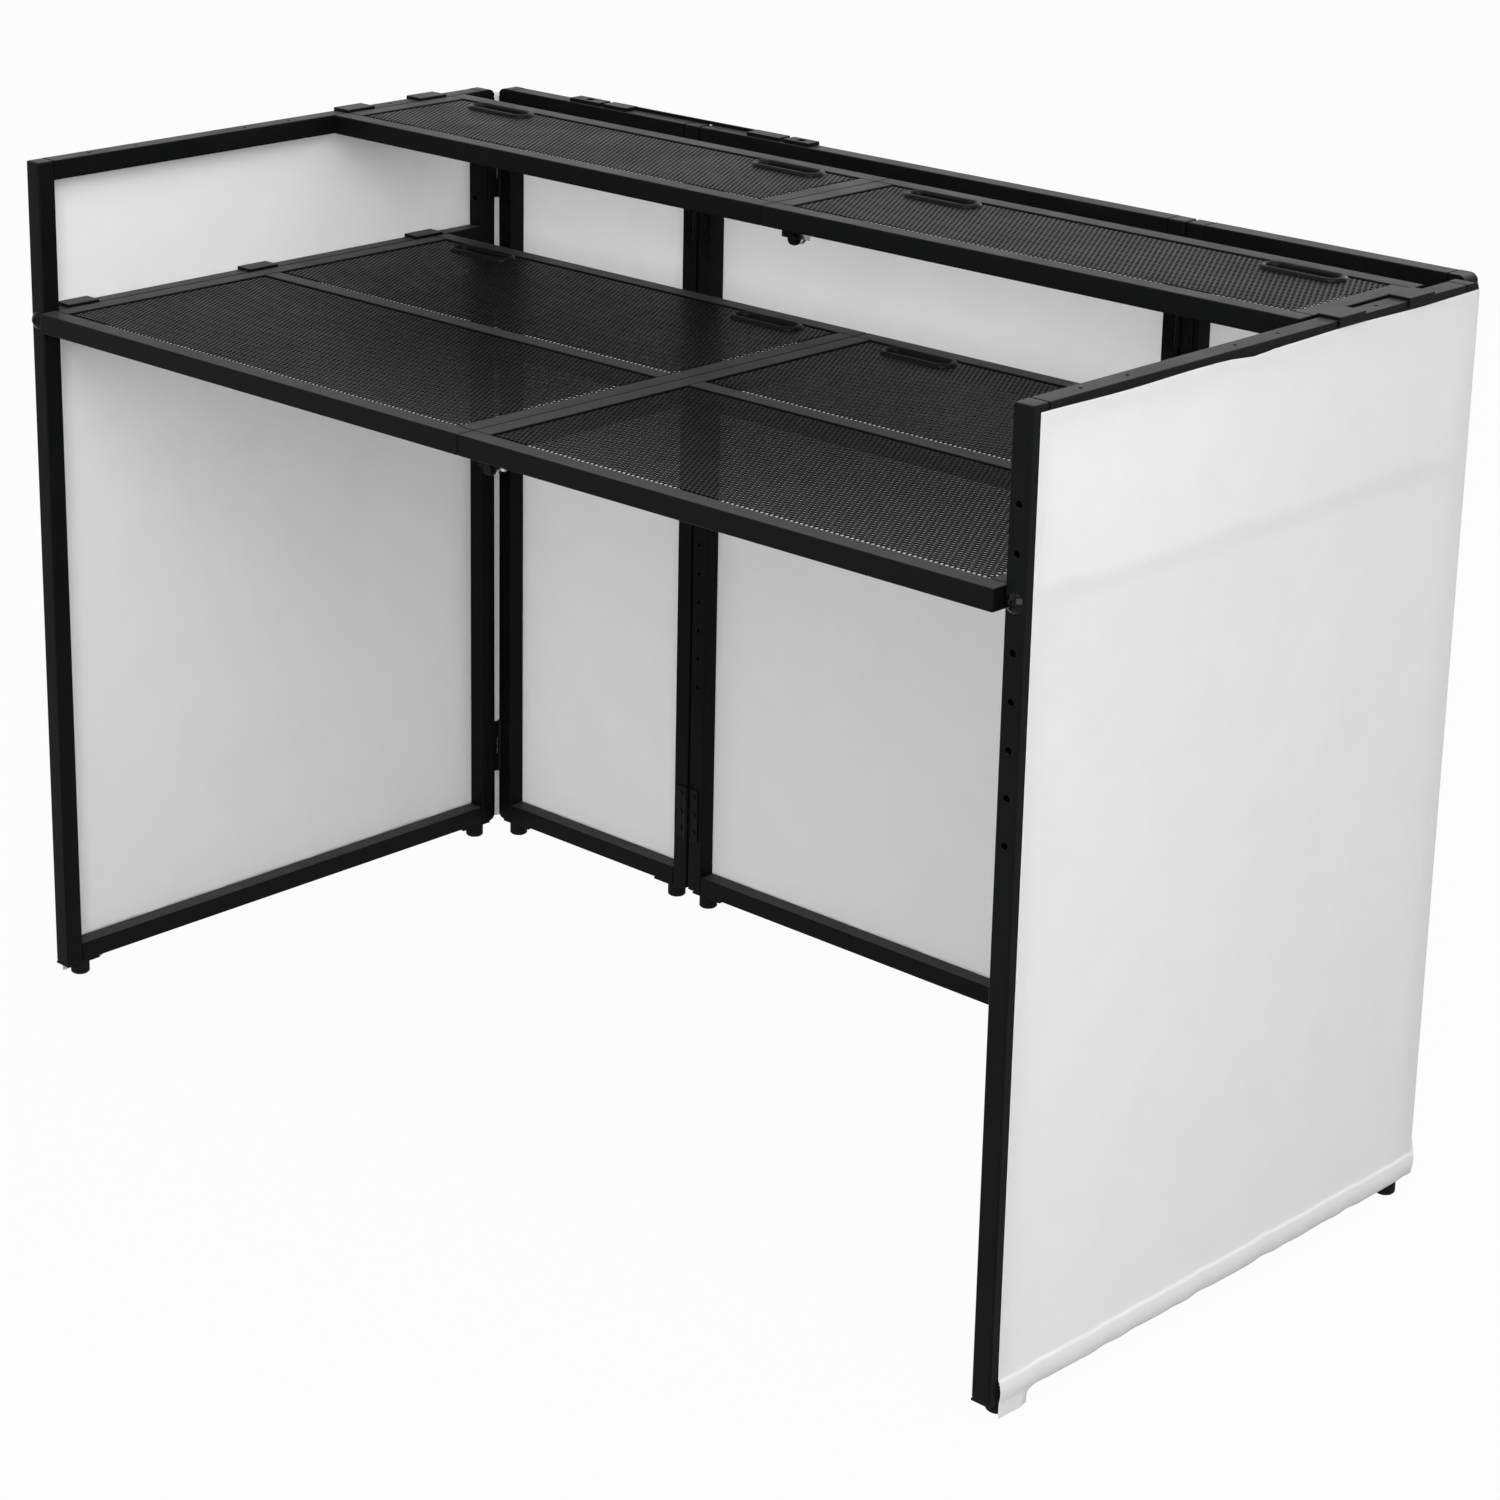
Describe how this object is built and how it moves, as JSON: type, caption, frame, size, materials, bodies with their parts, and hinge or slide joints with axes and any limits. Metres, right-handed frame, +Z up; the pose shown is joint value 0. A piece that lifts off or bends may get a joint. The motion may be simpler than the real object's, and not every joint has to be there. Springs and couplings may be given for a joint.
{
  "type": "dj booth",
  "caption": "Folding DJ booth: hinged black tube frames in a U with white stretch scrims on the outside, a perforated metal table inside and a narrow perforated shelf at the top.",
  "frame": {"origin": "on the floor, in the middle of the booth's box", "axes": "+X to the right of the person at the table, +Y towards the audience, +Z up"},
  "size_m": [1.6106, 0.8222, 1.105],
  "materials": {
    "tube_black": "satin black powder coat",
    "perforated_sheet": "satin black powder coat on perforated steel",
    "scrim_fabric": "white stretch knit",
    "foot_rubber": "matt black",
    "grommet_plastic": "moulded black",
    "bolt_black": "gloss black coated steel",
    "fastener_steel": "dark plated steel",
    "ear_steel": "bright plated"
  },
  "bodies": {
    "facade_front": {"left_wing_posts": "tube_black", "left_wing_rails": "tube_black", "centre_posts": "tube_black", "centre_rails": "tube_black", "right_wing_posts": "tube_black", "right_wing_rails": "tube_black", "front_feet": "foot_rubber", "front_foot_plates": "tube_black", "frame_hinge_pins": "fastener_steel", "corner_hinge_leaves": "tube_black", "wing_hinge_leaves": "tube_black", "centre_hinge_leaves": "tube_black", "front_hinge_screws": "fastener_steel", "front_scrim": "scrim_fabric", "left_corner_scrim": "scrim_fabric", "right_corner_scrim": "scrim_fabric", "joint_bars": "tube_black", "joint_bar_clips": "tube_black"},
    "left_side": {"left_side_posts": "tube_black", "left_side_rails": "tube_black", "left_support_rail": "tube_black", "left_rail_bolt": "bolt_black", "left_table_hangers": "tube_black", "left_shelf_hangers": "tube_black", "left_side_feet": "foot_rubber", "left_side_foot_plates": "tube_black", "left_side_hinge_leaves": "tube_black", "left_side_hinge_screws": "fastener_steel", "left_side_scrim": "scrim_fabric"},
    "right_side": {"right_side_posts": "tube_black", "right_side_rails": "tube_black", "right_support_rail": "tube_black", "right_rail_bolt": "bolt_black", "right_table_hangers": "tube_black", "right_shelf_hangers": "tube_black", "right_side_feet": "foot_rubber", "right_side_foot_plates": "tube_black", "right_side_hinge_leaves": "tube_black", "right_side_hinge_screws": "fastener_steel", "right_side_scrim": "scrim_fabric"},
    "table_left": {"table_left_frame": "tube_black", "table_left_near_sheet": "perforated_sheet", "table_left_far_sheet": "perforated_sheet", "table_left_grommets": "grommet_plastic", "table_left_seam_ears": "tube_black", "table_seam_pins": "fastener_steel"},
    "table_right": {"table_right_frame": "tube_black", "table_right_near_sheet": "perforated_sheet", "table_right_far_sheet": "perforated_sheet", "table_right_grommets": "grommet_plastic", "table_right_seam_ears": "ear_steel"},
    "shelf_left": {"shelf_left_frame": "tube_black", "shelf_left_sheet": "perforated_sheet", "shelf_left_grommets": "grommet_plastic", "shelf_left_seam_ears": "tube_black", "shelf_seam_pins": "fastener_steel"},
    "shelf_right": {"shelf_right_frame": "tube_black", "shelf_right_sheet": "perforated_sheet", "shelf_right_grommets": "grommet_plastic", "shelf_right_seam_ears": "ear_steel"}
  },
  "joints": [
    {"name": "left_side_swing", "type": "hinge", "parent": "facade_front", "child": "left_side", "pos_m": [-0.7745, 0.3814, 0.02], "axis": [0, 0, -1], "range_deg": [0, 90], "deforming": ["left_corner_scrim"]},
    {"name": "right_side_swing", "type": "hinge", "parent": "facade_front", "child": "right_side", "pos_m": [0.7745, 0.3814, 0.02], "axis": [0, 0, 1], "range_deg": [0, 90], "deforming": ["right_corner_scrim"]},
    {"name": "table_lift", "type": "hinge", "parent": "facade_front", "child": "table_left", "pos_m": [-0.772, 0, 0.9115], "axis": [0, -1, 0], "range_deg": [0, 8]},
    {"name": "table_fold", "type": "hinge", "parent": "table_left", "child": "table_right", "pos_m": [0, 0, 0.8615], "axis": [0, -1, 0], "range_deg": [-16, 0]},
    {"name": "shelf_lift", "type": "hinge", "parent": "facade_front", "child": "shelf_left", "pos_m": [-0.772, 0, 1.1012], "axis": [0, -1, 0], "range_deg": [0, 60]},
    {"name": "shelf_fold", "type": "hinge", "parent": "shelf_left", "child": "shelf_right", "pos_m": [0, 0, 1.0512], "axis": [0, -1, 0], "range_deg": [-120, 0]}
  ],
  "couplings": [
    {"joint": "table_fold", "follows": "table_lift", "ratio": -2},
    {"joint": "shelf_fold", "follows": "shelf_lift", "ratio": -2}
  ]
}
